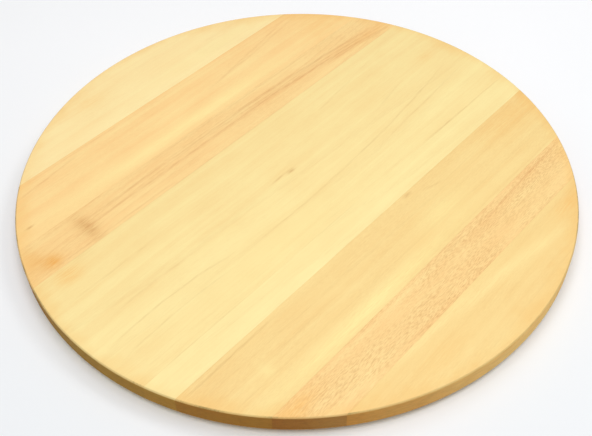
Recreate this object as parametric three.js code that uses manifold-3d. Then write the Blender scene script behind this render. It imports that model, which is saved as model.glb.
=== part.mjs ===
// Lazy susan turntable: a round board of eight edge-glued hardwood staves. A slim aluminium ball bearing is
// let into a channel in its underside: the board is screwed onto the turning ring, and the fixed ring inside
// that one stands on six rubber feet.
// Millimetres, +Z up. The origin is on the table, on the spin axis, and the grain of the staves runs along X.
import * as THREE from "three";
import { mergeVertices } from "three/addons/utils/BufferGeometryUtils.js";
import Module from "manifold-3d";

// Board
const BOARD_RADIUS = 195;
const BOARD_THICKNESS = 15;
const TOP_ARRIS = 1.5; // radius of the rounded edge above
const UNDER_ARRIS = 3; // radius of the rounded edge below
const BOARD_SEGMENTS = 96;
// Across the grain: the glue joints between the staves, and the tone of each stave between two joints.
const GLUE_JOINTS = [-150, -120, -71, -51.5, 54.8, 87.2, 137];
const STAVE_TONES = [0xf9d693, 0xf3ca92, 0xfad793, 0xfde4a0, 0xfbdf99, 0xf3c98c, 0xf8d390, 0xfbdea0];

// Heights above the table
const FOOT_HEIGHT = 2.5;
const RING_HEIGHT = 7.5;
const RING_OFFSET = 1; // how much higher the turning ring sits, so that the board clears the fixed ring
const BOARD_BOTTOM = 3;
const BOARD_TOP = BOARD_BOTTOM + BOARD_THICKNESS;
const FIXED_BOTTOM = FOOT_HEIGHT;
const FIXED_TOP = FIXED_BOTTOM + RING_HEIGHT;
const TURNING_BOTTOM = FIXED_BOTTOM + RING_OFFSET;
const TURNING_TOP = TURNING_BOTTOM + RING_HEIGHT; // also the ceiling of the channel

// Bearing
const RING_INNER_RADIUS = 95;
const RING_OUTER_RADIUS = 125;
const BALL_CIRCLE = 110;
const RING_GAP = 1.6;
const RING_CHAMFER = 0.6;
const RING_SEGMENTS = 72;
const CHANNEL_INNER_RADIUS = 92.5;
const CHANNEL_OUTER_RADIUS = 126;
const BALL_RADIUS = 2;
const BALL_COUNT = 24;
const BALL_PLAY = 0.15; // between a ball and the flanks of its grooves
const BALL_LEVEL = (FIXED_TOP + TURNING_BOTTOM) / 2;
const CAGE_WALL = 1.1;
const CAGE_HEIGHT = 5.6;
const POCKET_RADIUS = 2.25;

// Filler plug, which closes the hole that the balls were fed through
const FILLER_ANGLE = Math.PI / 2;
const FILLER_RADIUS = 1.9;

// Fasteners and feet
const FIT_GAP = 0.3; // round every shank, head, stem and plug
const SCREW_COUNT = 6;
const SCREW_CIRCLE = 118.5;
const SCREW_RADIUS = 2;
const SCREW_LENGTH = 12.5;
const SCREW_HEAD_RADIUS = 4;
const SCREW_HEAD_RIM = 0.4;
const SCREW_TIP = 3;
const SCREW_RECESS = 0.2; // how far the head lies below the face of the ring
const DRIVE_SPAN = 4.4;
const DRIVE_SLOT = 0.9;
const DRIVE_DEPTH = 1.6;
const FOOT_COUNT = 6;
const FOOT_CIRCLE = 101;
const FOOT_RADIUS = 5.5;
const FOOT_CHAMFER = 0.5;
const STEM_RADIUS = 3;
const STEM_LENGTH = 6;
const SMALL_SEGMENTS = 12;
const POCKET_SEGMENTS = 10;

const TURN = Math.PI * 2;
const aluminium = { color: 0xc9cbcd, roughness: 0.35, metalness: 1 };
const steel = { color: 0xb9bbbe, roughness: 0.25, metalness: 1 };
const nylon = { color: 0xe9e6dc, roughness: 0.5, metalness: 0 };
const rubber = { color: 0x3a3a3a, roughness: 0.85, metalness: 0 };

const wasm = await Module();
wasm.setup();

// A closed three.js geometry as a solid that can be joined and cut.
function toSolid(geometry) {
  const bare = geometry.clone();
  bare.deleteAttribute("normal");
  bare.deleteAttribute("uv");
  const merged = mergeVertices(bare, 1e-4);
  const mesh = new wasm.Mesh({
    numProp: 3,
    vertProperties: merged.attributes.position.array,
    triVerts: new Uint32Array(merged.index.array),
  });
  return new wasm.Manifold(mesh);
}

// A solid back as a geometry with a flat shade on each face.
function toGeometry(solid) {
  const mesh = solid.getMesh();
  const indexed = new THREE.BufferGeometry();
  indexed.setAttribute("position", new THREE.BufferAttribute(mesh.vertProperties, 3));
  indexed.setIndex(new THREE.BufferAttribute(mesh.triVerts, 1));
  const geometry = indexed.toNonIndexed();
  geometry.computeVertexNormals();
  return geometry;
}

// A path of radius and height, turned about Z.
function turned(path, segments, arcSteps = 3) {
  return new THREE.LatheGeometry(path.getPoints(arcSteps), segments).rotateX(Math.PI / 2);
}

function cutAll(geometry, cutters) {
  const solid = cutters.reduce((left, cutter) => left.subtract(toSolid(cutter)), toSolid(geometry));
  return toGeometry(solid);
}

// An upright cylinder or cone between two heights, at an angle round the spin axis.
function upright(lowRadius, highRadius, low, high, circle, angle) {
  return new THREE.CylinderGeometry(highRadius, lowRadius, high - low, SMALL_SEGMENTS)
    .rotateX(Math.PI / 2)
    .translate(circle * Math.cos(angle), circle * Math.sin(angle), (low + high) / 2);
}

// A cylinder lying along a radius, from one radius to another, at the level of the balls.
function radial(radius, from, to, angle, segments = SMALL_SEGMENTS) {
  return new THREE.CylinderGeometry(radius, radius, to - from, segments)
    .rotateZ(-Math.PI / 2)
    .translate((from + to) / 2, 0, BALL_LEVEL)
    .rotateZ(angle);
}

function named(name, geometry, look) {
  const mesh = new THREE.Mesh(geometry, new THREE.MeshStandardMaterial(look));
  mesh.name = name;
  return mesh;
}

const spread = (count, start = 0) => Array.from({ length: count }, (_, i) => start + (TURN * i) / count);
const screwAngles = spread(SCREW_COUNT);
const footAngles = spread(FOOT_COUNT, TURN / FOOT_COUNT / 2);
const ballAngles = spread(BALL_COUNT);

// The whole disc with its rounded rim and the channel for the bearing, which is then sawn along the joints.
function disc() {
  const outline = new THREE.Path();
  outline.moveTo(0, BOARD_BOTTOM);
  outline.lineTo(CHANNEL_INNER_RADIUS, BOARD_BOTTOM);
  outline.lineTo(CHANNEL_INNER_RADIUS, TURNING_TOP);
  outline.lineTo(CHANNEL_OUTER_RADIUS, TURNING_TOP);
  outline.lineTo(CHANNEL_OUTER_RADIUS, BOARD_BOTTOM);
  outline.lineTo(BOARD_RADIUS - UNDER_ARRIS, BOARD_BOTTOM);
  outline.absarc(BOARD_RADIUS - UNDER_ARRIS, BOARD_BOTTOM + UNDER_ARRIS, UNDER_ARRIS, -Math.PI / 2, 0, false);
  outline.lineTo(BOARD_RADIUS, BOARD_TOP - TOP_ARRIS);
  outline.absarc(BOARD_RADIUS - TOP_ARRIS, BOARD_TOP - TOP_ARRIS, TOP_ARRIS, 0, Math.PI / 2, false);
  outline.lineTo(0, BOARD_TOP);
  return toSolid(turned(outline, BOARD_SEGMENTS));
}

// One stave is the disc between two glue joints, less the pilot holes of the screws that bite into it.
function staves() {
  const whole = disc();
  const pilotTop = TURNING_BOTTOM + SCREW_RECESS + SCREW_LENGTH + FIT_GAP;
  const edges = [-BOARD_RADIUS - 1, ...GLUE_JOINTS, BOARD_RADIUS + 1];
  return STAVE_TONES.map((color, i) => {
    const [near, far] = [edges[i], edges[i + 1]];
    const slab = new THREE.BoxGeometry(3 * BOARD_RADIUS, far - near, 4 * BOARD_THICKNESS)
      .translate(0, (near + far) / 2, BOARD_BOTTOM);
    const sawn = whole.intersect(toSolid(slab));
    const pilots = screwAngles
      .filter((angle) => SCREW_CIRCLE * Math.sin(angle) > near && SCREW_CIRCLE * Math.sin(angle) < far)
      .map((angle) => {
        const radius = SCREW_RADIUS + FIT_GAP;
        return upright(radius, radius, TURNING_TOP - 1, pilotTop, SCREW_CIRCLE, angle);
      });
    const look = { color, roughness: 0.45, metalness: 0 };
    return named(`stave_${i + 1}`, cutAll(toGeometry(sawn), pilots), look);
  });
}

// Section of a bearing ring with a V groove on its ball side. Side is +1 for the ring outside the balls
// and -1 for the ring inside them.
function ringSection(side, plainRadius, bottom, top) {
  const wall = BALL_CIRCLE + (side * RING_GAP) / 2;
  const apexReach = (BALL_RADIUS + BALL_PLAY) * Math.SQRT2;
  const mouth = apexReach - RING_GAP / 2;
  const chamferSide = side * RING_CHAMFER;
  const points = [
    [wall, bottom],
    [wall, BALL_LEVEL - mouth],
    [BALL_CIRCLE + side * apexReach, BALL_LEVEL],
    [wall, BALL_LEVEL + mouth],
    [wall, top],
    [plainRadius - chamferSide, top],
    [plainRadius, top - RING_CHAMFER],
    [plainRadius, bottom + RING_CHAMFER],
    [plainRadius - chamferSide, bottom],
    [wall, bottom],
  ];
  const section = new THREE.Path();
  section.setFromPoints((side > 0 ? points.reverse() : points).map(([r, z]) => new THREE.Vector2(r, z)));
  return section;
}

function turningRing() {
  const ring = turned(ringSection(1, RING_OUTER_RADIUS, TURNING_BOTTOM, TURNING_TOP), RING_SEGMENTS);
  const holeRadius = SCREW_RADIUS + FIT_GAP;
  // The 45 degree countersink stays parallel to the cone of the head, and starts a little outside the ring.
  const mouthHeight = TURNING_BOTTOM - 1;
  const mouthRadius = SCREW_HEAD_RADIUS + SCREW_HEAD_RIM + SCREW_RECESS + 1 + FIT_GAP * Math.SQRT2;
  const sinkDepth = mouthRadius - holeRadius;
  const sinks = screwAngles.flatMap((angle) => [
    upright(holeRadius, holeRadius, mouthHeight, TURNING_TOP + 1, SCREW_CIRCLE, angle),
    upright(mouthRadius, holeRadius, mouthHeight, mouthHeight + sinkDepth, SCREW_CIRCLE, angle),
  ]);
  const [holeStart, holeEnd] = [BALL_CIRCLE + RING_GAP, RING_OUTER_RADIUS + 1];
  const fillerHole = radial(FILLER_RADIUS + FIT_GAP, holeStart, holeEnd, FILLER_ANGLE);
  return named("turning_ring", cutAll(ring, [...sinks, fillerHole]), aluminium);
}

function fixedRing() {
  const ring = turned(ringSection(-1, RING_INNER_RADIUS, FIXED_BOTTOM, FIXED_TOP), RING_SEGMENTS);
  const holeRadius = STEM_RADIUS + FIT_GAP;
  const holes = footAngles.map((angle) =>
    upright(holeRadius, holeRadius, FIXED_BOTTOM - 1, FIXED_TOP + 1, FOOT_CIRCLE, angle));
  return named("fixed_ring", cutAll(ring, holes), aluminium);
}

function fillerPlug() {
  const reach = BALL_CIRCLE + (BALL_RADIUS + BALL_PLAY) * Math.SQRT2 + FIT_GAP;
  return named("filler_plug", radial(FILLER_RADIUS, reach, RING_OUTER_RADIUS - FIT_GAP, FILLER_ANGLE), steel);
}

function balls() {
  return ballAngles.map((angle, i) => {
    const ball = new THREE.IcosahedronGeometry(BALL_RADIUS, 1);
    ball.translate(BALL_CIRCLE * Math.cos(angle), BALL_CIRCLE * Math.sin(angle), BALL_LEVEL);
    return named(`ball_${String(i + 1).padStart(2, "0")}`, ball, steel);
  });
}

function ballCage() {
  const [inner, outer] = [BALL_CIRCLE - CAGE_WALL / 2, BALL_CIRCLE + CAGE_WALL / 2];
  const [bottom, top] = [BALL_LEVEL - CAGE_HEIGHT / 2, BALL_LEVEL + CAGE_HEIGHT / 2];
  const corners = [[inner, bottom], [outer, bottom], [outer, top], [inner, top], [inner, bottom]];
  const section = new THREE.Path();
  section.setFromPoints(corners.map(([r, z]) => new THREE.Vector2(r, z)));
  const pockets = ballAngles.map((angle) =>
    radial(POCKET_RADIUS, inner - 1, outer + 1, angle, POCKET_SEGMENTS));
  return named("ball_cage", cutAll(turned(section, RING_SEGMENTS), pockets), nylon);
}

// Countersunk wood screw with its head down and a cross recess for the driver.
function ringScrews() {
  const bottom = TURNING_BOTTOM + SCREW_RECESS;
  const neck = bottom + SCREW_HEAD_RIM + SCREW_HEAD_RADIUS - SCREW_RADIUS;
  const tip = bottom + SCREW_LENGTH;
  const outline = new THREE.Path();
  outline.moveTo(0, bottom);
  outline.lineTo(SCREW_HEAD_RADIUS, bottom);
  outline.lineTo(SCREW_HEAD_RADIUS, bottom + SCREW_HEAD_RIM);
  outline.lineTo(SCREW_RADIUS, neck);
  outline.lineTo(SCREW_RADIUS, tip - SCREW_TIP);
  outline.lineTo(0, tip);
  const slots = [0, 1].map((quarter) =>
    new THREE.BoxGeometry(DRIVE_SPAN, DRIVE_SLOT, 2 * DRIVE_DEPTH)
      .rotateZ((quarter * Math.PI) / 2)
      .translate(0, 0, bottom));
  const screw = cutAll(turned(outline, SMALL_SEGMENTS), slots);
  return screwAngles.map((angle, i) => {
    const mesh = named(`ring_screw_${i + 1}`, screw, steel);
    mesh.position.set(SCREW_CIRCLE * Math.cos(angle), SCREW_CIRCLE * Math.sin(angle), 0);
    mesh.rotation.z = angle;
    return mesh;
  });
}

// Rubber foot: a round pad on the table, with a stem pushed up into the fixed ring.
function feet() {
  const outline = new THREE.Path();
  outline.moveTo(0, 0);
  outline.lineTo(FOOT_RADIUS - FOOT_CHAMFER, 0);
  outline.lineTo(FOOT_RADIUS, FOOT_CHAMFER);
  outline.lineTo(FOOT_RADIUS, FOOT_HEIGHT);
  outline.lineTo(STEM_RADIUS, FOOT_HEIGHT);
  outline.lineTo(STEM_RADIUS, FOOT_HEIGHT + STEM_LENGTH - FOOT_CHAMFER);
  outline.lineTo(STEM_RADIUS - FOOT_CHAMFER, FOOT_HEIGHT + STEM_LENGTH);
  outline.lineTo(0, FOOT_HEIGHT + STEM_LENGTH);
  const foot = turned(outline, SMALL_SEGMENTS);
  return footAngles.map((angle, i) => {
    const mesh = named(`foot_${i + 1}`, foot, rubber);
    mesh.position.set(FOOT_CIRCLE * Math.cos(angle), FOOT_CIRCLE * Math.sin(angle), 0);
    return mesh;
  });
}

const base = new THREE.Group();
base.add(fixedRing(), ...feet());

const rolling = new THREE.Group();
rolling.add(ballCage(), ...balls());

const turntable = new THREE.Group();
turntable.add(turningRing(), fillerPlug(), ...ringScrews(), ...staves());

const lazySusan = new THREE.Group();
lazySusan.add(base, rolling, turntable);
export default lazySusan;
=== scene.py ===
from math import asin, atan2, ceil, cos, pi, radians, sin, sqrt

import bmesh
import bpy
import numpy as np
from mathutils import Matrix, Vector
from mathutils.geometry import delaunay_2d_cdt


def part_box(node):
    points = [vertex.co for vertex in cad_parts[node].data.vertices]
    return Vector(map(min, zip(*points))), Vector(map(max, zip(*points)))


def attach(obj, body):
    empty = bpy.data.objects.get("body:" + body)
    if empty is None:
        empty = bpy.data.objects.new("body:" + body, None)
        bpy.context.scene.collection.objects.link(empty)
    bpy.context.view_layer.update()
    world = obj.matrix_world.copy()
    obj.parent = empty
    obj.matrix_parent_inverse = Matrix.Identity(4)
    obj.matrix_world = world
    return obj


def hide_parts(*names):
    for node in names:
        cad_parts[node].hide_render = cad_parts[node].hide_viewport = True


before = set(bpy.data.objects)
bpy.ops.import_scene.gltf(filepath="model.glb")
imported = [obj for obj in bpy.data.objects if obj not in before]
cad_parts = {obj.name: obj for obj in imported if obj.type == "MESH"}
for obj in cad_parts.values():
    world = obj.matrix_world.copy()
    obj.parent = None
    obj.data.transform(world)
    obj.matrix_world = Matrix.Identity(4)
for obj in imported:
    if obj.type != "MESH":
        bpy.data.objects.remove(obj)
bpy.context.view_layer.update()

mm = 0.001
turn = 2 * pi
roundPoints = 48                                 # round a small part or hole
wholeTurn = np.linspace(0, turn, roundPoints + 1)[:-1]


# sheets of points, welded into closed pieces
class Shell:
    def __init__(self):
        self.points, self.faces, self.count = [], [], 0

    # more points, and faces that count from the first of them
    def add(self, points, faces):
        self.points.append(np.asarray(points, float).reshape(-1, 3))
        self.faces += (np.asarray(faces) + self.count).tolist()
        self.count += len(self.points[-1])

    # rows x columns of points, joined by quads; looped, the last column also joins the first
    def grid(self, points, looped=False):
        rows, columns = points.shape[:2]
        index = np.arange(rows * columns).reshape(rows, columns)
        if looped:
            index = np.hstack([index, index[:, :1]])
        quads = np.stack([index[:-1, :-1], index[1:, :-1], index[1:, 1:], index[:-1, 1:]], -1)
        self.add(points, quads.reshape(-1, 4))

    # a flat sheet with holes: lines on the (u, v) plane are triangulated, the triangles whose middle
    # passes keep(u, v) stay, and place(u, v) carries them into space
    def panel(self, lines, keep, place):
        flat = np.concatenate(lines)
        starts = np.cumsum([0] + [len(line) for line in lines])
        edges = [(i, i + 1) for a, b in zip(starts[:-1], starts[1:]) for i in range(a, b - 1)]
        found = delaunay_2d_cdt((flat / mm).tolist(), edges, [], 0, 1e-5)
        source = np.array([old[0] if old else -1 for old in found[3]])
        corners = np.where(source[:, None] < 0, np.array(found[0]) * mm, flat[source])
        triangles = np.array(found[2])
        middle = corners[triangles].mean(1)
        kept = triangles[keep(middle[:, 0], middle[:, 1])]
        used, kept = np.unique(kept, return_inverse=True)
        self.add(place(*corners[used].T), kept.reshape(-1, 3))

    # one flat face over a closed line
    def cap(self, loop):
        self.add(loop, [range(len(loop))])

    # one mesh with its doubles merged, its faces outwards and its sharp edges kept
    def mesh(self, name, sharp=32):
        mesh = bpy.data.meshes.new(name)
        mesh.from_pydata(np.concatenate(self.points).tolist(), [], self.faces)
        work = bmesh.new()
        work.from_mesh(mesh)
        bmesh.ops.remove_doubles(work, verts=work.verts, dist=1e-6)
        bmesh.ops.recalc_face_normals(work, faces=work.faces)
        work.to_mesh(mesh)
        work.free()
        mesh.shade_smooth()
        mesh.set_sharp_from_angle(angle=radians(sharp))
        return mesh


# a mesh becomes the piece that stands for a CAD node
def addPiece(name, mesh, material, node, body, flatten=True):
    piece = bpy.data.objects.new(name, mesh)
    bpy.context.scene.collection.objects.link(piece)
    mesh.materials.clear()
    mesh.materials.append(material)
    if flatten:                                     # large flat faces lead the shading at their edges
        even = piece.modifiers.new("evenShading", "WEIGHTED_NORMAL")
        even.keep_sharp = True
    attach(piece, body)
    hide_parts(node)
    return piece


# carries (u, v) to (x, y) at one height
def flatAt(height):
    return lambda u, v: np.stack([u, v, np.full_like(u, height)], -1)


# points of a circle from one angle to another: centre + r (cos a, sin a)
def arc(radius, start, end, count, centre=(0, 0)):
    angles = np.linspace(start, end, count)
    return np.stack([centre[0] + radius * np.cos(angles), centre[1] + radius * np.sin(angles)], -1)


# a whole circle that ends exactly where it starts
def holeRound(centre, radius, count=roundPoints):
    circle = arc(radius, 0, turn, count + 1, centre)
    circle[-1] = circle[0]
    return circle


# a line on the plane repeated at several heights
def upright(line, heights):
    return np.array([np.column_stack([line, np.full(len(line), z)]) for z in heights])


# a line of (radius, height) points turned about Z: x = r cos a, y = r sin a
def revolved(profile, angles):
    profile = np.asarray(profile, float)
    r, z = profile[:, 0, None], profile[:, 1, None]
    return np.stack([r * np.cos(angles), r * np.sin(angles), z + 0 * angles], -1)


# the corners of a profile rounded: a corner c becomes the curve (1 - t)^2 a + 2 t (1 - t) c + t^2 b,
# where a and b lie a set distance back along its two sides
def softened(points, back, steps=4):
    points = [np.array(p, float) for p in points]
    done = [points[0]]
    for before, corner, after in zip(points[:-2], points[1:-1], points[2:]):
        inward, outward = before - corner, after - corner
        reach = min(back, np.linalg.norm(inward) / 2, np.linalg.norm(outward) / 2)
        a = corner + inward / np.linalg.norm(inward) * reach
        b = corner + outward / np.linalg.norm(outward) * reach
        t = np.linspace(0, 1, steps + 1)[:, None]
        done += list((1 - t) ** 2 * a + 2 * t * (1 - t) * corner + t ** 2 * b)
    return np.array(done + [points[-1]])


# a socket that takes part in sums as a number does
class Wire:
    def __init__(self, shader, socket):
        self.shader, self.socket = shader, socket

    def __add__(self, other):
        return self.shader.math("ADD", self, other)

    def __sub__(self, other):
        return self.shader.math("SUBTRACT", self, other)

    def __rsub__(self, other):
        return self.shader.math("SUBTRACT", other, self)

    def __mul__(self, other):
        return self.shader.math("MULTIPLY", self, other)

    def __truediv__(self, other):
        return self.shader.math("DIVIDE", self, other)

    def __rtruediv__(self, other):
        return self.shader.math("DIVIDE", other, self)

    def __pow__(self, other):
        return self.shader.math("POWER", self, other)

    def __rpow__(self, other):
        return self.shader.math("POWER", other, self)

    __radd__ = __add__
    __rmul__ = __mul__


# one material and its nodes
class Shader:
    def __init__(self, name):
        self.material = bpy.data.materials.new(name)
        self.material.use_nodes = True
        self.tree = self.material.node_tree
        self.tree.nodes.clear()

    # any node: its type, its settings, the values or links of its sockets, and which output is wanted
    def node(self, kind, settings=None, sockets=None, output=0):
        node = self.tree.nodes.new("ShaderNode" + kind)
        for name, value in (settings or {}).items():
            if name == "stops":
                ramp = node.color_ramp.elements
                while len(ramp) < len(value):
                    ramp.new(0.5)
                for element, (place, colour) in zip(ramp, value):
                    element.position, element.color = place, colour
            else:
                setattr(node, name, value)
        for name, value in (sockets or {}).items():
            if isinstance(value, Wire):
                self.tree.links.new(value.socket, node.inputs[name])
            else:
                node.inputs[name].default_value = value
        return Wire(self, node.outputs[output])

    def math(self, operation, *values):
        return self.node("Math", {"operation": operation}, dict(enumerate(values)))

    def mix(self, factor, a, b, blend="MIX"):
        settings = {"data_type": "RGBA", "blend_type": blend}
        return self.node("Mix", settings, {0: factor, 6: a, 7: b}, 2)

    def join(self, x, y, z):
        return self.node("CombineXYZ", None, {0: x, 1: y, 2: z})

    # 0 to 1 as value goes from low to high, with soft ends
    def smooth(self, value, low, high):
        return self.node("MapRange", {"interpolation_type": "SMOOTHSTEP"}, {0: value, 1: low, 2: high})

    # the bell curve: e to the power of minus the value squared
    def bell(self, value):
        return self.math("EXPONENT", value * value * -1)

    # noise about zero, mostly between -0.5 and 0.5
    def noise(self, x, y, z, detail=2.0, roughness=0.5):
        sockets = {"Vector": self.join(x, y, z), "Scale": 1.0, "Detail": detail, "Roughness": roughness}
        return self.node("TexNoise", None, sockets) * 2 - 1

    # position on the piece in millimetres
    def place(self):
        spot = self.node("TexCoord", None, None, "Object")
        return [self.node("SeparateXYZ", None, {0: spot}, axis) * 1000 for axis in range(3)]

    # the direction a face looks in, in the piece's own axes
    def facing(self):
        normal = self.node("TexCoord", None, None, "Normal")
        return [self.node("SeparateXYZ", None, {0: normal}, axis) for axis in range(3)]

    # the finished surface; fixed values go straight onto its sockets, and height is relief in metres
    def surface(self, colour, roughness, height=None, fixed=None):
        sockets = {"Base Color": colour, "Roughness": roughness, **(fixed or {})}
        if height is not None:
            relief = {"Strength": 1.0, "Distance": 1.0, "Height": height}
            sockets["Normal"] = self.node("Bump", None, relief)
        shade = self.node("BsdfPrincipled", None, sockets)
        ending = self.tree.nodes.new("ShaderNodeOutputMaterial")
        self.tree.links.new(shade.socket, ending.inputs["Surface"])
        return self.material


# an 8-bit screen colour as the linear colour that shaders take
def tint(red, green, blue):
    share = np.array([red, green, blue]) / 255
    linear = np.where(share <= 0.04045, share / 12.92, ((share + 0.055) / 1.055) ** 2.4)
    return (*linear.tolist(), 1.0)


# sizes that the frame already holds
staveNames = [f"stave_{i}" for i in range(1, 9)]
boardLow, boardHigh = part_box("stave_5")
boardRadius, boardBottom, boardTop = (round(v, 6) for v in (boardHigh.x, boardLow.z, boardHigh.z))
turningLow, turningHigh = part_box("turning_ring")
fixedLow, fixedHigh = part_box("fixed_ring")
turningBottom, turningTop = round(turningLow.z, 6), round(turningHigh.z, 6)
turningRadius = round(turningHigh.x, 6)
fixedBottom, fixedTop = round(fixedLow.z, 6), round(fixedHigh.z, 6)
ballLevel = (turningBottom + fixedTop) / 2


# the middle of a CAD node, seen from above, as an angle and a distance from the spin axis
def polarPlace(node):
    low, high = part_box(node)
    x, y = (low.x + high.x) / 2, (low.y + high.y) / 2
    return atan2(y, x), sqrt(x * x + y * y)


# camera, light and floor
studio = {
    "azimuth": radians(-47.0),       # the camera stands on the side that the grain runs away from
    "stand": (-0.7 * mm, -432.1 * mm, 422.4 * mm),    # sideways, back, and above the top of the board
    "tilt": radians(42.53),
    "roll": radians(-1.5),
    "lens": 51.84,
    "sensor": 36,
    # painted shade: the paper is coloured greyer on the camera's side, standing in for light that falls off
    # there
    "paperPaintedShade": tint(236, 238, 240),
    "paperFar": tint(253, 253, 254),
    "paperShadeFade": (-280, 330),        # painted shade from near to far, in millimetres away from the camera's side
    "mottleSize": 160,
    "mottleReach": 60,
    "paperRoughness": 0.75,
    "paperShine": {"Specular IOR Level": 0.2},
    # name: power, width, and place to the right of, behind and above the board
    "lamps": {
        "front": (14.2, 1.3, (0.0, -0.42, 1.4)),
        "side": (4.8, 0.6, (1.0, 0.12, 1.35)),
        "back": (4.0, 0.9, (-0.05, 0.6, 1.6)),
    },
    "skyColour": (0.96, 0.98, 1.0, 1.0),
    "skyPower": 0.27,
    "floorReach": 6.0,
}


# camera, paper floor with painted shade on its near side, lamps and sky, all turned with the camera about Z
def buildStudio():
    scene = bpy.context.scene
    about = Matrix.Rotation(studio["azimuth"], 4, "Z")
    x, y, z = studio["stand"]
    camera = bpy.data.objects.new("camera", bpy.data.cameras.new("camera"))
    camera.data.lens = studio["lens"]
    camera.data.sensor_width = studio["sensor"]
    camera.data.clip_start = 0.01
    aim = Matrix.Rotation(studio["tilt"], 4, "X") @ Matrix.Rotation(studio["roll"], 4, "Z")
    camera.matrix_world = about @ Matrix.Translation((x, y, z + boardTop)) @ aim
    scene.collection.objects.link(camera)
    scene.camera = camera

    floorMesh = bpy.data.meshes.new("floor")
    reach = studio["floorReach"]
    corners = [(-reach, -reach, 0), (reach, -reach, 0), (reach, reach, 0), (-reach, reach, 0)]
    floorMesh.from_pydata(corners, [], [(0, 1, 2, 3)])
    floor = bpy.data.objects.new("floor", floorMesh)
    scene.collection.objects.link(floor)
    paper = Shader("paper")
    px, py = paper.place()[:2]
    mottle = paper.noise(px / studio["mottleSize"], py / studio["mottleSize"], 0, 3.0)
    # painted shade: the floor's colour darkens towards the camera's side, where the light would fall off
    away = py * cos(studio["azimuth"]) - px * sin(studio["azimuth"])
    fade = paper.smooth(away + mottle * studio["mottleReach"], *studio["paperShadeFade"])
    colour = paper.mix(fade, studio["paperPaintedShade"], studio["paperFar"])
    finish = paper.surface(colour, studio["paperRoughness"], None, studio["paperShine"])
    floorMesh.materials.append(finish)

    for name, (power, width, spot) in studio["lamps"].items():
        lamp = bpy.data.lights.new(name, "AREA")
        lamp.shape, lamp.size, lamp.energy = "DISK", width, power
        holder = bpy.data.objects.new(name, lamp)
        spot = about @ Vector(spot)
        aim = spot.to_track_quat("Z", "Y").to_matrix().to_4x4()      # lamps look at the board
        holder.matrix_world = Matrix.Translation(spot) @ aim
        scene.collection.objects.link(holder)

    world = bpy.data.worlds.new("sky")
    world.use_nodes = True
    sky = world.node_tree.nodes["Background"].inputs
    sky["Color"].default_value, sky["Strength"].default_value = studio["skyColour"], studio["skyPower"]
    scene.world = world
    scene.view_settings.view_transform = "Standard"


buildStudio()
print("studio ready")


# Shared by all staves. Lengths in millimetres; strengths are shares of the way from pale to deep.
woodHabit = {
    # the size of each pattern, along the grain and across it
    "driftSize": (190, 60),
    "shiverSize": (30, 10),
    "streakSize": (260, 5.5),
    "fibreSize": (11, 0.6),
    "blotchSize": (42, 26),
    "dashSize": (3.2, 0.44),
    "broadDrift": 4.0,               # how far the growth rings wander over a hand's breadth
    "fineDrift": 0.8,
    "ringUneven": 2.0,
    "streakStrength": 0.20,
    "fibreStrength": 0.15,
    "blotchStrength": 0.16,
    "grainTint": 0.4,                # how far the fine grain shifts the colour towards deep
    "grainShade": 0.2,               # and how far it simply darkens it
    "patina": tint(240, 180, 92),    # the oil has deepened the wood along the rim
    "patinaStrength": 0.3,
    "patinaWidth": 13.0,
    "arrisTone": tint(150, 132, 78),     # a darker, olive tone on the broken top edge
    "dashShade": 0.44,
    "layerShade": 0.16,
    "sideTone": (1.06, 0.98, 0.80, 1.0),     # the rim keeps more of the oil than the faces do
    "endTone": (0.43, 0.27, 0.085, 1.0),     # and end grain drinks most of it
    "glueStrength": 0.16,
    "glueWidth": 0.5,
    "relief": 0.03,
    "roughness": 0.46,
    "sawnRoughness": 0.3,            # more on the rim
    "shine": {"Specular IOR Level": 0.18},
}
cream, honey = tint(255, 243, 170), tint(244, 186, 104)
umber, black = tint(186, 120, 52), tint(0, 0, 0)

# the tones that the staves share: light ones first, then the ones they deepen to
straw, butter = tint(251, 228, 160), tint(252, 234, 168)
ivory, milk = tint(255, 233, 165), tint(255, 236, 175)
wheat, amber, peach = tint(234, 180, 107), tint(240, 167, 100), tint(247, 177, 110)
biscuit, sand = tint(235, 188, 118), tint(246, 192, 122)

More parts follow.
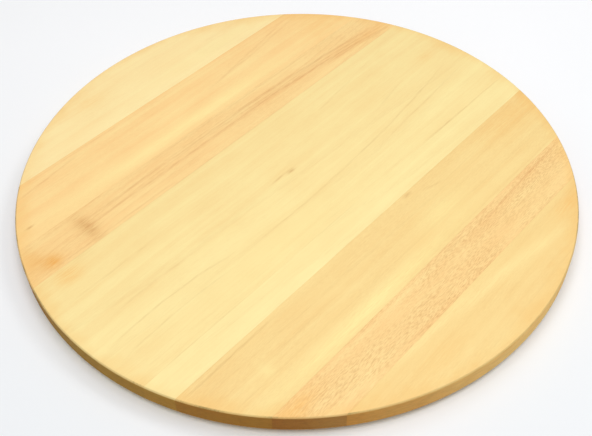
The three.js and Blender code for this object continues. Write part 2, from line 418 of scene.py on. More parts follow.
# One entry for each stave, from -Y to +Y.
#   pale, deep: the two ends of its colour; base: where it lies between them; across: change over its width
#   pith: where the middle of the tree lay (y, z) with its drift per millimetre along the grain
#   rings: their spacing and strength; flecks: strength of the short dark dashes
#   rim: how much lighter its end grain is, in red, green and blue
#   lines: single grain lines y + slope x + bow x x (y, slope, bow, start x, end x, width, strength);
#          a negative strength makes a pale one
#   spots: on the top only (x, y, length, width, colour, strength)
staveLooks = [
    {"pale": straw, "deep": wheat, "base": 0.36, "across": 0.0,
     "pith": (-60, -95, 0.05, 0.02), "rings": (3.4, 0.10), "flecks": 0.16, "rim": (1.4, 1.4, 1.4),
     "lines": [(-158, -0.125, -0.0003, -125, 105, 4.4, -0.62), (-163.5, -0.13, 0, -60, 40, 1.4, 0.1)],
     "spots": [(-60, -168, 26, 8, honey, 0.2), (95, -160, 15, 5, honey, 0.4)]},
    {"pale": ivory, "deep": amber, "base": 0.36, "across": 0.0,
     "pith": (-100, -140, 0.0, 0.03), "rings": (2.2, 0.08), "flecks": 0.88, "rim": (0.9, 0.88, 0.8),
     "lines": [(-129.3, 0.06, -0.00013, 30, 165, 0.8, 0.42), (-141, 0.02, 0, 20, 130, 0.8, 0.14)],
     "spots": [(-140, -126, 15, 6, honey, 0.6), (90, -140, 60, 9, cream, 0.12)]},
    {"pale": straw, "deep": wheat, "base": 0.34, "across": 0.06,
     "pith": (-20, -120, 0.02, 0.02), "rings": (2.6, 0.10), "flecks": 0.22, "rim": (1.02, 1.08, 1.0),
     "lines": [(-73.8, 0.006, 0, -190, -96, 0.8, 0.38), (-65.5, -0.3, 0, 42, 66, 0.9, 0.22),
               (-84, 0.0, 0, 58, 112, 0.8, 0.12), (-92, 0.01, 0, -165, -60, 0.8, 0.12)],
     "spots": [(-60, -114, 88, 5.5, cream, 0.6), (36, -99, 24, 9, cream, 0.32),
               (33, -73.5, 4, 1.1, umber, 0.4),
               (155, -82, 40, 14, honey, 0.34), (-133, -97, 4, 6, cream, 0.3)]},
    {"pale": butter, "deep": biscuit, "base": 0.16, "across": 0.0,
     "pith": (-30, -150, 0.01, 0.02), "rings": (2.4, 0.06), "flecks": 0.06, "rim": (1.1, 1.22, 1.25),
     "lines": [], "spots": []},
    {"pale": butter, "deep": wheat, "base": 0.24, "across": 0.08,
     "pith": (30, -90, 0.0, 0.02), "rings": (3.4, 0.07), "flecks": 0.08, "rim": (1.05, 1.22, 1.25),
     "lines": [(-47.1, -0.4576, -0.0016, -192, -70, 0.8, 0.31),
               (-24.67, 0.0301, 0.00043, -88, 192, 0.8, 0.28),
               (-49.0, -0.3288, -0.0012, -192, -84, 0.8, 0.20), (-32.7, 0.076, 0, 52, 192, 0.8, 0.22),
               (28.0, 0.0, 0, -182, -100, 0.8, 0.17), (-27.9, -0.42, -0.0015, -172, -92, 0.8, 0.17),
               (24.4, 0.11, 0, 56, 112, 0.8, 0.17), (-16.7, 0.167, 0, 84, 134, 0.8, 0.17),
               (24.2, 0.125, 0, 106, 156, 0.8, 0.13), (-50.8, 0.0, 0, 72, 192, 0.6, 0.31),
               (-50.8, 0.0, 0, -175, -100, 0.6, 0.18)],
     "spots": [(-2, 3.2, 3.6, 1.5, umber, 0.5), (-13, 4.4, 6, 0.8, umber, 0.3), (-165, 47, 10, 7, honey, 0.6),
               (168, 9, 9, 5, honey, 0.22), (-60, -40, 60, 14, cream, 0.2)]},
    {"pale": ivory, "deep": amber, "base": 0.36, "across": 0.0,
     "pith": (-10, -90, 0.03, 0.0), "rings": (3.0, 0.14), "flecks": 0.3, "rim": (1.0, 1.0, 1.0),
     "lines": [(73, 0, -0.0003, -60, 195, 5.5, 0.14), (76.2, 0, 0, -175, 60, 0.9, 0.38),
               (76.8, 0, -0.00033, -10, 195, 1.0, 0.41),
               (70.3, 0, 0, -175, 80, 0.9, 0.40), (71.0, 0, -0.00036, 20, 195, 1.0, 0.45),
               (73.8, 0, -0.00035, 80, 195, 0.9, 0.30), (67.6, 0, -0.0003, 96, 195, 1.3, 0.33),
               (85.4, 0, 0, -112, 182, 0.7, 0.22), (57.6, 0, 0, -192, -52, 0.7, 0.30),
               (64, 0, 0, -130, -20, 0.7, 0.11)],
     "spots": [(-131, 70, 5.5, 14, umber, 0.44), (-164.5, 63.5, 6, 6, tint(234, 156, 40), 0.62),
               (-171, 72, 7, 12, tint(226, 156, 60), 0.34), (165, 62, 30, 8, honey, 0.25)]},
    {"pale": ivory, "deep": peach, "base": 0.36, "across": 0.04,
     "pith": (60, -100, -0.05, 0.02), "rings": (3.2, 0.10), "flecks": 0.14, "rim": (1.0, 1.0, 1.0),
     "lines": [(140.5, 0.1, 0, -152, -88, 0.9, 0.36), (109.5, 0.13, 0.0003, 10, 150, 1.1, 0.26),
               (111.0, 0.075, 0.00033, 30, 156, 1.1, 0.24), (134.6, 0, 0, -150, -40, 0.7, 0.2)],
     "spots": [(-12, 95.5, 95, 6, cream, 0.46), (-157, 99, 3, 0.9, umber, 0.5),
               (148, 104, 24, 16, honey, 0.26)]},
    {"pale": milk, "deep": sand, "base": 0.24, "across": 0.08,
     "pith": (150, -140, 0.0, 0.03), "rings": (3.0, 0.06), "flecks": 0.08, "rim": (1.0, 1.0, 1.0),
     "lines": [], "spots": [(-48, 171, 15, 9, honey, 0.26), (60, 150, 50, 7, cream, 0.2)]},
]


# the wood of one stave, whose width runs from low to high: pale and deep mixed by streaks, rings, fibres
# and lines, then dashes, spots, patina, a darker top edge and the rim laid over it
def woodFinish(name, look, seed, low, high):
    s = Shader(name)
    x, y, z = s.place()
    nx, ny, nz = s.facing()
    habit = woodHabit

    def pattern(size, across, up, detail, roughness=0.5):
        along, wide = habit[size]
        return s.noise(x / along + seed, across / wide, up / wide, detail, roughness)

    # where the grain has wandered to
    drift = pattern("driftSize", y, z, 1.0) * habit["broadDrift"]
    shiver = pattern("shiverSize", y, z, 2.0) * habit["fineDrift"]
    gy = y + drift + shiver
    gz = z + drift * 0.6
    near = y + shiver * 0.7

    # streaks, fibres and slow changes
    streak = pattern("streakSize", gy, gz, 3.0, 0.6)
    fibre = pattern("fibreSize", gy, gz, 3.0, 0.65)
    blotch = pattern("blotchSize", y, z, 3.0, 0.6)
    worn = s.smooth(fibre, -0.35, 0.3) * 0.75 + 0.35

    # growth rings: circles about the pith, cut off sharply on their outer side
    pithY, pithZ, leanY, leanZ = look["pith"]
    spacing, ringStrength = look["rings"]
    acrossPith = gy - pithY - x * leanY
    abovePith = gz - pithZ - x * leanZ
    count = s.math("SQRT", acrossPith * acrossPith + abovePith * abovePith) / spacing
    count = count + s.noise(count / 5 + seed, 0, 0, 1.0) * habit["ringUneven"]
    inRing = s.math("FRACT", count)
    late = s.smooth(inRing, 0.25, 0.96) ** 2.5 * (1 - s.smooth(inRing, 0.95, 1.0))
    ringShare = s.node("TexWhiteNoise", {"noise_dimensions": "1D"}, {"W": s.math("FLOOR", count) + seed})

    across = (y - (low + high) / 2) / (high - low)
    depth = look["base"] + across * look["across"]
    depth = depth + streak * habit["streakStrength"] + blotch * habit["blotchStrength"]
    grain = fibre * habit["fibreStrength"] + late * ringShare * worn * ringStrength * 1.6
    for at, slope, bow, start, end, width, strength in look["lines"]:
        fade = (end - start) * 0.28
        off = (near - at - x * slope - x * x * bow) / width
        length = s.smooth(x, start, start + fade) * (1 - s.smooth(x, end - fade, end))
        grain = grain + s.bell(off) * length * worn * strength
    glue = s.bell((y - low) / habit["glueWidth"]) + s.bell((y - high) / habit["glueWidth"])
    grain = grain + glue * s.smooth(blotch, -0.25, 0.25) * habit["glueStrength"]
    depth = depth + grain * habit["grainTint"]
    colour = s.mix(s.math("MINIMUM", s.math("MAXIMUM", depth, 0), 1), look["pale"], look["deep"])
    colour = s.mix(s.math("MAXIMUM", grain, 0) * habit["grainShade"], colour, black)

    # short dark dashes along the grain
    dash = pattern("dashSize", gy, gz, 2.0, 0.55)
    patchy = s.smooth(s.noise(x / 60 - seed, y / 14, z / 14, 2.0), -0.7, 0.3)
    fleck = s.smooth(dash, -0.24, 0.36) * patchy
    colour = s.mix(fleck * (look["flecks"] * habit["dashShade"]), colour, umber)

    # local colour on the top, and the patina along the rim
    onTop = s.smooth(nz, 0.2, 0.7)
    for sx, sy, length, width, spotColour, strength in look["spots"]:
        spot = s.bell((x - sx) / length) * s.bell((near - sy) / width)
        colour = s.mix(spot * worn * onTop * strength, colour, spotColour)
    fromAxis = s.math("SQRT", x * x + y * y)
    edge = s.smooth(fromAxis + blotch * 14, boardRadius / mm - habit["patinaWidth"], boardRadius / mm + 3)
    colour = s.mix(edge * habit["patinaStrength"], colour, habit["patina"])

    # the broken top edge is coloured darker and more olive, more in some places than in others
    arris = s.smooth(nz, 0.15, 0.5) * (1 - s.smooth(nz, 0.82, 0.98))
    arrisTone = s.smooth(blotch + fibre * 0.4, 0.0, 0.35) * 0.5 + 0.25
    colour = s.mix(arris * arrisTone, colour, habit["arrisTone"])

    # the rim, and the end grain where it cuts across the fibres
    wall = 1 - s.smooth(s.math("ABSOLUTE", nz), 0.15, 0.8)
    ends = s.smooth(s.math("ABSOLUTE", nx), 0.02, 0.85) * wall
    layers = s.noise(x / 60 + seed, gy / 3, gz / 1.2, 3.0, 0.6)
    endTone = (*[share * more for share, more in zip(habit["endTone"], look["rim"])], 1.0)
    rim = s.mix(ends, habit["sideTone"], endTone)
    rim = s.mix(wall * s.smooth(layers, -0.3, 0.5) * habit["layerShade"], rim, black)
    colour = s.mix(wall, colour, s.mix(1.0, colour, rim, "MULTIPLY"))
    roughness = fibre * 0.06 + wall * habit["sawnRoughness"] + habit["roughness"]
    height = (fibre - fleck * 0.5) * (habit["relief"] * mm)
    return s.surface(colour, roughness, height, habit["shine"])


staveShape = {
    "topArris": 1.5 * mm,
    "underArris": 3.0 * mm,
    "arrisSteps": 8,
    "arcStep": 1.3 * mm,
    "channelInner": 92.5 * mm,
    "channelOuter": 126.0 * mm,
    "pilotRadius": 2.3 * mm,
    "pilotEnd": 0.3 * mm,            # beyond the tip of the screw
    "pilotPoints": 40,
}


# the edge of the board as (radius, height), from the flat underside round to the flat top: a quarter
# circle at the foot, an upright side and a smaller quarter circle at the head
def rimProfile():
    under, top, steps = staveShape["underArris"], staveShape["topArris"], staveShape["arrisSteps"]
    lowArc = arc(under, -pi / 2, 0, steps + 1, (boardRadius - under, boardBottom + under))
    side = np.linspace(boardBottom + under, boardTop - top, 5)[1:-1]
    highArc = arc(top, 0, pi / 2, steps + 1, (boardRadius - top, boardTop - top))
    return np.concatenate([lowArc, np.stack([np.full(3, boardRadius), side], -1), highArc])


# the stretches of a circle that lie between two glue joints, as pairs of angles: the circle meets a
# joint at y where the angle is asin(y / r)
def stretches(radius, low, high):
    low, high = max(low, -radius), min(high, radius)
    if low >= high:
        return []
    a, b = asin(low / radius), asin(high / radius)
    if high >= radius:
        return [(a, pi - a)]
    if low <= -radius:
        return [(pi - b, turn + b)]
    return [(a, b), (pi - b, pi - a)]


# the same stretches as points (r cos a, r sin a), evenly spaced
def arcsBetween(radius, low, high):
    step = staveShape["arcStep"]
    spans = stretches(radius, low, high)
    return [arc(radius, a, b, max(3, ceil(radius * (b - a) / step) + 1)) for a, b in spans]


# the points where the arcs meet a glue joint, joined along it
def jointLines(arcs, low, high):
    ends = np.array([p for line in arcs for p in (line[0], line[-1])]).reshape(-1, 2)
    lines = []
    for level in (low, high):
        on = ends[np.abs(ends[:, 1] - level) < 1e-7]
        if len(on):
            lines.append(on[np.argsort(on[:, 0])])
    return lines


# a glued face: the board's section at y, which is sqrt(r^2 - y^2) wide each way at radius r
def jointFace(shell, profile, level):
    channelTop = turningTop
    half = np.sqrt(profile[:, 0] ** 2 - level ** 2)
    right = np.stack([half, profile[:, 1]], -1)
    notch = []
    channel = (staveShape["channelInner"], staveShape["channelOuter"])
    crossings = [sqrt(r * r - level * level) for r in channel if r > abs(level)]
    if len(crossings) == 2:
        inner, outer = crossings
        notch = [(inner, boardBottom), (inner, channelTop), (outer, channelTop), (outer, boardBottom)]
    elif crossings:
        notch = [(crossings[0], channelTop), (crossings[0], boardBottom)]
    right = np.concatenate([np.array(notch).reshape(-1, 2), right])
    left = right[::-1] * [-1, 1]
    outline = np.concatenate([right, left])
    shell.cap(np.stack([outline[:, 0], np.full(len(outline), level), outline[:, 1]], -1))


# a stave: the rim profile turned about Z between two joints, flat sheets for the top, the underside
# and the channel's ceiling, upright walls for the channel and the pilot holes, and its glued faces
def buildStave(index, node, material):
    shape = staveShape
    low, high = (round(corner.y, 6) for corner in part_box(node))
    inner, outer, channelTop = shape["channelInner"], shape["channelOuter"], turningTop
    shell = Shell()
    profile = rimProfile()

    # rim: the profile carried round each outer arc
    rimTops, rimBottoms = [], []
    spans = [stretches(r, low, high) for r in profile[:, 0]]
    for k in range(len(spans[0])):
        a, b = spans[0][k]
        count = ceil(boardRadius * (b - a) / shape["arcStep"]) + 1
        rows = [arc(r, span[k][0], span[k][1], count) for (r, z), span in zip(profile, spans)]
        heights = np.broadcast_to(profile[:, 1, None, None], (len(rows), count, 1))
        rim = np.concatenate([np.array(rows), heights], -1)
        shell.grid(rim)
        rimBottoms.append(rim[0, :, :2])
        rimTops.append(rim[-1, :, :2])

    # top, underside, channel ceiling and channel walls
    everywhere = lambda u, v: np.ones(len(u), bool)
    shell.panel(rimTops + jointLines(rimTops, low, high), everywhere, flatAt(boardTop))
    walls = [arcsBetween(r, low, high) for r in (inner, outer)]
    edges = walls[0] + walls[1]
    outside = lambda u, v: (np.hypot(u, v) < inner) | (np.hypot(u, v) > outer)
    shell.panel(rimBottoms + edges + jointLines(rimBottoms + edges, low, high), outside, flatAt(boardBottom))
    pilots = []
    for name in screwNames:
        angle, reach = polarPlace(name)
        if low < reach * sin(angle) < high:
            centre = (reach * cos(angle), reach * sin(angle))
            pilots.append((centre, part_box(name)[1].z + shape["pilotEnd"]))
    if edges:
        def ceiling(u, v):
            radius = np.hypot(u, v)
            keep = (radius > inner) & (radius < outer)
            for (px, py), end in pilots:
                keep &= np.hypot(u - px, v - py) > shape["pilotRadius"]
            return keep
        holes = [holeRound(centre, shape["pilotRadius"], shape["pilotPoints"]) for centre, end in pilots]
        shell.panel(edges + jointLines(edges, low, high) + holes, ceiling, flatAt(channelTop))
        for line in edges:
            shell.grid(upright(line, (boardBottom, channelTop)))
        for hole, (centre, end) in zip(holes, pilots):
            rows = upright(hole[:-1], (channelTop, end))
            shell.grid(rows, looped=True)
            shell.cap(rows[1])
    for level in (low, high):
        if abs(level) < boardRadius - 1e-6:
            jointFace(shell, profile, level)
    name, slot = f"boardStave{index + 1}", f"wood_{index + 1}"
    return addPiece(name, shell.mesh(node), material, node, "turntable")


screwNames = [f"ring_screw_{i}" for i in range(1, 7)]
for index, (node, look) in enumerate(zip(staveNames, staveLooks)):
    low, high = (corner.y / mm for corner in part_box(node))
    wood = woodFinish(f"wood{index + 1}", look, 3.7 + 11.3 * index, low, high)
    buildStave(index, node, wood)
print("staves ready")

bearingShape = {
    "gap": 1.6 * mm,                 # between the two rings
    "play": 0.15 * mm,               # between a ball and the flanks of its grooves
    "chamfer": 0.6 * mm,
    "edgeBreak": 0.2 * mm,
    "boreRadius": 95.0 * mm,         # of the fixed ring
    "sinkRadius": 5.02 * mm,         # countersink at the face of the turning ring
    "screwHole": 2.3 * mm,
    "stemHole": 3.3 * mm,
    "fillerHole": 2.2 * mm,
    "columns": 288,
    "cageWall": 1.1 * mm,
    "cageHeight": 5.6 * mm,
    "pocketRadius": 2.25 * mm,
    "cageEdge": 0.15 * mm,
}
ballCircle = polarPlace("ball_01")[1]
ballRadius = (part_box("ball_01")[1].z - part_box("ball_01")[0].z) / 2
ballNames = [f"ball_{i:02d}" for i in range(1, 25)]
footNames = [f"foot_{i}" for i in range(1, 7)]
screwPlaces = [polarPlace(name) for name in screwNames]
footPlaces = [polarPlace(name) for name in footNames]


# a flat ring between two circles with round holes (angle, reach, radius) in it
def ringFace(shell, inner, outer, height, holes, count):
    spots = [(reach * cos(angle), reach * sin(angle), radius) for angle, reach, radius in holes]
    lines = [holeRound((0, 0), inner, count), holeRound((0, 0), outer, count)]
    lines += [holeRound((x, y), radius) for x, y, radius in spots]

    def keep(u, v):
        kept = np.hypot(u, v) > inner
        for x, y, radius in spots:
            kept &= np.hypot(u - x, v - y) > radius
        return kept
    shell.panel(lines, keep, flatAt(height))


# the wall of an upright hole: (radius, height) points turned about the hole's own axis
def holeWall(shell, place, profile):
    angle, reach = place
    wall = revolved(profile, wholeTurn)
    shell.grid(wall + [reach * cos(angle), reach * sin(angle), 0], looped=True)


# where a round hole along a radius meets a turned surface: the point at distance s sideways lies at
# the angle asin(s / radius) from the middle of the hole
def radialHole(radiusAt, holeRadius, middle, count=roundPoints):
    turnRound = np.linspace(0, turn, count + 1)
    sideways, height = holeRadius * np.sin(turnRound), ballLevel + holeRadius * np.cos(turnRound)
    sideways[-1], height[-1] = sideways[0], height[0]
    radius = radiusAt(height)
    angles = np.arcsin(sideways / radius) + middle
    curve = np.stack([angles * ballCircle, height], -1)
    return curve, np.stack([radius * np.cos(angles), radius * np.sin(angles), height], -1)


# a stretch of turned wall with a radial hole in its middle; a crease is a level where the wall bends
def drilledWall(shell, radiusAt, levels, crease, holeRadius, middle, half, count):
    curve, rim = radialHole(radiusAt, holeRadius, middle)
    along = np.linspace(middle - half, middle + half, count) * ballCircle
    lines = [curve] + [np.stack([along, np.full(count, level)], -1) for level in levels]
    for u in (along[0], along[-1]):
        stops = [levels[0], ballLevel, levels[1]] if crease else levels
        lines.append(np.array([(u, level) for level in stops]))
    if crease:
        reach = asin(holeRadius / radiusAt(np.array([ballLevel]))[0]) * ballCircle
        at = middle * ballCircle
        lines += [np.array([(along[0], ballLevel), (at - reach, ballLevel)]),
                  np.array([(at + reach, ballLevel), (along[-1], ballLevel)])]

    def keep(u, v):
        sideways = radiusAt(v) * np.sin(u / ballCircle - middle)
        return np.hypot(sideways, v - ballLevel) > holeRadius * 0.999

    def place(u, v):
        radius = radiusAt(v)
        return np.stack([radius * np.cos(u / ballCircle), radius * np.sin(u / ballCircle), v], -1)
    shell.panel(lines, keep, place)
    return rim


# a bearing ring: a turned profile, side is +1 for the ring outside the balls and -1 for the one inside
# them; the V groove lies at radius = apex - side x |z - ball level|
def bearingRing(name, side, plainRadius, bottom, top, filler=None):
    shape = bearingShape
    wall = ballCircle + side * shape["gap"] / 2
    apex = ballCircle + side * (ballRadius + shape["play"]) * sqrt(2)
    mouth, edge, chamfer = abs(apex - wall), shape["edgeBreak"], shape["chamfer"]
    shell = Shell()
    low = [(wall + side * edge, bottom), (wall, bottom + edge), (wall, ballLevel - mouth)]
    groove = [(wall, ballLevel - mouth), (apex, ballLevel), (wall, ballLevel + mouth)]
    high = [(wall, ballLevel + mouth), (wall, top - edge), (wall + side * edge, top)]
    plainHigh = [(plainRadius - side * chamfer, top), (plainRadius, top - chamfer)]
    plainWall = [(plainRadius, top - chamfer), (plainRadius, bottom + chamfer)]
    plainLow = [(plainRadius, bottom + chamfer), (plainRadius - side * chamfer, bottom)]
    step = turn / shape["columns"]
    full = np.arange(shape["columns"]) * step
    for part in (low, high, plainHigh, plainLow):
        shell.grid(revolved(part, full), looped=True)
    if filler is None:
        for part in (groove, plainWall):
            shell.grid(revolved(part, full), looped=True)
    else:
        half = 3 * step
        rest = filler + half + np.arange(shape["columns"] - 5) * step
        for part in (groove, plainWall):
            shell.grid(revolved(part, rest))
        grooveAt = lambda v: apex - side * np.abs(v - ballLevel)
        plainAt = lambda v: np.full_like(v, plainRadius)
        drilled = shape["fillerHole"], filler, half, 7
        grooveEnd = drilledWall(shell, grooveAt, [ballLevel - mouth, ballLevel + mouth], True, *drilled)
        plainEnd = drilledWall(shell, plainAt, [bottom + chamfer, top - chamfer], False, *drilled)
        shell.grid(np.stack([grooveEnd, plainEnd]))
    faceEdges, columns = sorted([wall + side * edge, plainRadius - side * chamfer]), shape["columns"]
    if side > 0:
        sink, hole = shape["sinkRadius"], shape["screwHole"]
        ringFace(shell, *faceEdges, bottom, [(*place, sink) for place in screwPlaces], columns)
        ringFace(shell, *faceEdges, top, [(*place, hole) for place in screwPlaces], columns)
        for place in screwPlaces:
            holeWall(shell, place, [(sink, bottom), (hole, bottom + sink - hole), (hole, top)])
    else:
        hole, broken = shape["stemHole"], shape["stemHole"] + edge
        stemWall = [(broken, bottom), (hole, bottom + edge), (hole, top - edge), (broken, top)]
        for height in (bottom, top):
            ringFace(shell, *faceEdges, height, [(*place, broken) for place in footPlaces], columns)
        for place in footPlaces:
            holeWall(shell, place, stemWall)
    return shell.mesh(name)


# the cage: a thin upright band, radius within half a wall of the ball circle, with a round radial
# pocket for each ball
def cageMesh(name):
    shape = bearingShape
    inner, outer = ballCircle - shape["cageWall"] / 2, ballCircle + shape["cageWall"] / 2
    bottom, top = ballLevel - shape["cageHeight"] / 2, ballLevel + shape["cageHeight"] / 2
    edge = shape["cageEdge"]
    shell = Shell()
    full = np.arange(shape["columns"]) * turn / shape["columns"]
    for level, inward in ((top, -edge), (bottom, edge)):
        side = level + inward
        band = [(inner, side), (inner + edge, level), (outer - edge, level), (outer, side)]
        shell.grid(revolved(band, full), looped=True)
    half = pi / len(ballNames)
    count = shape["columns"] // len(ballNames) + 1
    levels, hole = [bottom + edge, top - edge], shape["pocketRadius"]
    innerAt, outerAt = (lambda v: np.full_like(v, inner)), (lambda v: np.full_like(v, outer))
    for ball in ballNames:
        middle = polarPlace(ball)[0]
        rims = [drilledWall(shell, wallAt, levels, False, hole, middle, half, count)
                for wallAt in (innerAt, outerAt)]
        shell.grid(np.stack(rims))
    return shell.mesh(name)


# a ball: x, y, z = r sin a cos b, r sin a sin b, r cos a
def ballMesh(name):
    a = np.linspace(0, pi, roundPoints // 2 + 1)[:, None]
    b = wholeTurn
    shell = Shell()
    ball = np.stack([np.sin(a) * np.cos(b), np.sin(a) * np.sin(b), np.cos(a) + 0 * b], -1) * ballRadius
    shell.grid(ball, looped=True)
    return shell.mesh(name, sharp=60)


# a copy of a mesh, turned and moved inside itself so that its object stays at the origin
def copyAt(mesh, name, place, height, turned=0.0):
    angle, reach = place
    copied = mesh.copy()
    copied.name = name
    shift = Matrix.Translation((reach * cos(angle), reach * sin(angle), height))
    copied.transform(shift @ Matrix.Rotation(turned, 4, "Z"))
    return copied


plugShape = {
    "radius": 1.9 * mm,
    "edge": 0.25 * mm,
    "slotLength": 2.6 * mm,
    "slotWidth": 0.6 * mm,
    "slotDepth": 0.8 * mm,
}


# the filler plug: a turned rod laid along a radius, with a driver slot in its outer end
def plugMesh(name, angle, start, end):
    shape = plugShape
    shell = Shell()
    edge = shape["edge"]
    rod = [(0, start), (shape["radius"] - edge, start), (shape["radius"], start + edge),
           (shape["radius"], end - edge), (shape["radius"] - edge, end)]
    shell.grid(revolved(rod, wholeTurn), looped=True)
    half, side = shape["slotLength"] / 2, shape["slotWidth"] / 2
    slot = np.array([(-half, -side), (half, -side), (half, side), (-half, side), (-half, -side)])
    offSlot = lambda u, v: ~((np.abs(u) < half) & (np.abs(v) < side))
    shell.panel([holeRound((0, 0), shape["radius"] - edge), slot], offSlot, flatAt(end))
    recess(shell, slot[:-1], end, end - shape["slotDepth"], 1.0)
    mesh = shell.mesh(name)
    lie = Matrix.Translation((0, 0, ballLevel)) @ Matrix.Rotation(pi / 2, 4, "Y")
    mesh.transform(Matrix.Rotation(angle, 4, "Z") @ lie)
    return mesh


# a pocket sunk from one height to another, its floor drawn in to a share of its mouth
def recess(shell, outline, mouth, floor, share):
    rows = upright(outline, (mouth, floor))
    rows[1, :, :2] *= share
    shell.grid(rows, looped=True)
    shell.cap(rows[1])


screwShape = {
    "headRadius": 4.0 * mm,
    "headRim": 0.4 * mm,
    "shankRadius": 2.0 * mm,
    "coreRadius": 1.45 * mm,
    "pitch": 1.4 * mm,
    "tip": 3.0 * mm,
    "crossSpan": 4.4 * mm,
    "crossWidth": 0.9 * mm,
    "crossDepth": 1.6 * mm,
    "crossTaper": 0.55,
    "headEdge": 0.1 * mm,
    "threadStep": 0.1 * mm,
    "threadStart": 1.5 * mm,         # the thread grows to its full depth over this length
    "turnEach": 0.9,                 # in radians: no two crosses stop at the same angle
}


# head down: a flat face with a cross recess, a cone, and a thread whose radius rises and falls as a
# triangle wave of height minus turns times pitch
def screwMesh(name, bottom, top):
    shape = screwShape
    head, rim, shank = shape["headRadius"], shape["headRim"], shape["shankRadius"]
    neck = bottom + rim + head - shank
    columns = wholeTurn
    shell = Shell()
    edge = shape["headEdge"]
    half, side = shape["crossSpan"] / 2, shape["crossWidth"] / 2
    arm = np.array([(half, -side), (half, side), (side, side)])
    cross = np.concatenate([arm, arm[:, ::-1] * [-1, 1], -arm, arm[:, ::-1] * [1, -1]])
    inArm = lambda u, v: (np.abs(u) < half) & (np.abs(v) < side)
    offCross = lambda u, v: ~(inArm(u, v) | inArm(v, u))
    shell.panel([holeRound((0, 0), head - edge), np.vstack([cross, cross[:1]])], offCross, flatAt(bottom))
    recess(shell, cross, bottom, bottom + shape["crossDepth"], shape["crossTaper"])
    headLine = [(head - edge, bottom), (head, bottom + edge), (head, bottom + rim), (shank, neck)]
    shell.grid(revolved(headLine, columns), looped=True)
    heights = np.arange(neck, top, shape["threadStep"])
    z = np.append(heights, top)[:, None]
    wave = np.abs((z / shape["pitch"] - columns / turn) % 1 - 0.5) * 2
    start = np.clip((z - neck) / shape["threadStart"], 0, 1)
    taper = np.clip((top - z) / shape["tip"], 0.02, 1)
    radius = (shank - (shank - shape["coreRadius"]) * wave * start) * taper
    thread = np.stack([radius * np.cos(columns), radius * np.sin(columns), z + 0 * columns], -1)
    shell.grid(thread, looped=True)
    shell.cap(thread[-1])
    return shell.mesh(name)


footShape = {
    "padRadius": 5.5 * mm,
    "padHeight": 2.5 * mm,
    "stemRadius": 3.0 * mm,
    "soleDimple": 0.4 * mm,
    "dimpleFloor": 1.8 * mm,         # radii of the dimple
    "dimpleMouth": 2.6 * mm,
    "rounding": 0.6 * mm,
}


# a round pad with a dimpled sole and a stem with a rounded end, as one turned profile
def footMesh(name, top):
    shape = footShape
    pad, stem = shape["padRadius"], shape["stemRadius"]
    dimple, innerRing, outerRing = shape["soleDimple"], shape["dimpleFloor"], shape["dimpleMouth"]
    sole = [(0, dimple), (innerRing, dimple), (outerRing, 0), (pad, 0),
            (pad, shape["padHeight"]), (stem, shape["padHeight"]), (stem, top), (0, top)]
    shell = Shell()
    shell.grid(revolved(softened(sole, shape["rounding"]), wholeTurn), looped=True)
    return shell.mesh(name, sharp=50)


metalLook = {
    "aluminium": tint(214, 216, 219),
    "aluminiumDull": tint(184, 186, 189),
    "turningMarks": 0.0016,          # this and the grains below are relief in millimetres
    "zincGrain": 0.002,
    "zinc": tint(196, 200, 206),
    "zincWarm": tint(204, 198, 184),
    "specks": tint(120, 120, 122),
    "ball": tint(206, 208, 212),
    "oilFilm": tint(168, 164, 156),
}
nylonLook = {"milky": tint(236, 233, 222), "creamy": tint(224, 219, 204), "grain": 0.004}
rubberLook = {
    "rubber": tint(50, 50, 51),
    "dust": tint(84, 82, 78),
    "grain": 0.02,
    "shine": {"Specular IOR Level": 0.35},
}


# fine marks round the axis, dull clouds and a few dark specks
def turnedAluminium():
    s = Shader("turnedAluminium")
    x, y, z = s.place()
    radius = s.math("SQRT", x * x + y * y)
    marks = s.noise(radius * 9, z * 9, 0, 2.0, 0.7)
    clouds = s.noise(x / 18, y / 18, z / 6, 3.0)
    specks = s.smooth(s.noise(x * 1.6, y * 1.6, z * 1.6, 3.0, 0.6), 0.22, 0.4)
    dull = s.smooth(clouds + marks * 0.3, -0.4, 0.5)
    colour = s.mix(dull * 0.7, metalLook["aluminium"], metalLook["aluminiumDull"])
    colour = s.mix(specks * 0.35, colour, metalLook["specks"])
    roughness = dull * 0.14 + marks * 0.08 + 0.3
    return s.surface(colour, roughness, marks * (metalLook["turningMarks"] * mm), {"Metallic": 1.0})


# plating that is warmer in places
def zincSteel():
    s = Shader("zincSteel")
    x, y, z = s.place()
    clouds = s.smooth(s.noise(x / 2.2, y / 2.2, z / 2.2, 3.0), -0.3, 0.4)
    grain = s.noise(x * 5, y * 5, z * 5, 2.0)
    colour = s.mix(clouds, metalLook["zinc"], metalLook["zincWarm"])
    roughness = clouds * 0.15 + 0.28 + grain * 0.06
    return s.surface(colour, roughness, grain * (metalLook["zincGrain"] * mm), {"Metallic": 1.0})


# polished, with a thin uneven film of oil
def ballSteel():
    s = Shader("ballSteel")
    x, y, z = s.place()
    scuffs = s.noise(x * 3, y * 3, z * 3, 3.0, 0.7)
    film = s.smooth(scuffs, -0.1, 0.5)
    colour = s.mix(film * 0.4, metalLook["ball"], metalLook["oilFilm"])
    return s.surface(colour, film * 0.12 + 0.1, None, {"Metallic": 1.0})


# moulded, milky and slightly creamy in places
def cageNylon():
    s = Shader("cageNylon")
    x, y, z = s.place()
    milky = s.smooth(s.noise(x / 5, y / 5, z / 3, 3.0), -0.4, 0.4)
    grain = s.noise(x * 4, y * 4, z * 4, 2.0)
    colour = s.mix(milky, nylonLook["milky"], nylonLook["creamy"])
    return s.surface(colour, grain * 0.1 + 0.5, grain * (nylonLook["grain"] * mm))


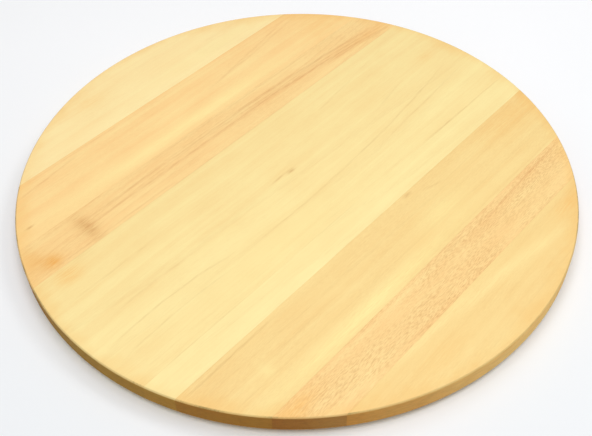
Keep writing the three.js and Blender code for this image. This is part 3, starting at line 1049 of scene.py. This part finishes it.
# matt and grained, with dust on it
def footRubber():
    s = Shader("footRubber")
    x, y, z = s.place()
    grain = s.noise(x * 3, y * 3, z * 3, 3.0, 0.6)
    dust = s.smooth(s.noise(x / 2, y / 2, z / 2, 4.0, 0.6) + grain * 0.3, 0.0, 0.5)
    colour = s.mix(dust * 0.5, rubberLook["rubber"], rubberLook["dust"])
    return s.surface(colour, dust * 0.1 + 0.75, grain * (rubberLook["grain"] * mm), rubberLook["shine"])


aluminium, zinc = turnedAluminium(), zincSteel()
fillerAngle = polarPlace("filler_plug")[0]
turning = bearingRing("turning_ring", 1, turningRadius, turningBottom, turningTop, fillerAngle)
addPiece("turningRing", turning, aluminium, "turning_ring", "turntable")
fixed = bearingRing("fixed_ring", -1, bearingShape["boreRadius"], fixedBottom, fixedTop)
addPiece("fixedRing", fixed, aluminium, "fixed_ring", "base")
plugLow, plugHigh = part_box("filler_plug")
plug = plugMesh("filler_plug", fillerAngle, round(plugLow.y, 6), round(plugHigh.y, 6))
addPiece("fillerPlug", plug, zinc, "filler_plug", "turntable")
print("rings ready")

addPiece("ballCage", cageMesh("ball_cage"), cageNylon(), "ball_cage", "rolling_set")
ballMaterial = ballSteel()
oneBall = ballMesh("oneBall")
for i, node in enumerate(ballNames):
    ball = copyAt(oneBall, node, polarPlace(node), ballLevel, polarPlace(node)[0])
    addPiece(f"ball{i + 1}", ball, ballMaterial, node, "rolling_set", flatten=False)
bpy.data.meshes.remove(oneBall)
print("cage and balls ready")

screwLow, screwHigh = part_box("ring_screw_1")
oneScrew = screwMesh("oneScrew", screwLow.z, screwHigh.z)
for i, node in enumerate(screwNames):
    screw = copyAt(oneScrew, node, screwPlaces[i], 0, screwPlaces[i][0] + i * screwShape["turnEach"])
    addPiece(f"ringScrew{i + 1}", screw, zinc, node, "turntable")
bpy.data.meshes.remove(oneScrew)
rubber = footRubber()
oneFoot = footMesh("oneFoot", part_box("foot_1")[1].z)
for i, node in enumerate(footNames):
    foot = copyAt(oneFoot, node, footPlaces[i], 0)
    addPiece(f"foot{i + 1}", foot, rubber, node, "base", flatten=False)
bpy.data.meshes.remove(oneFoot)
print("screws and feet ready")
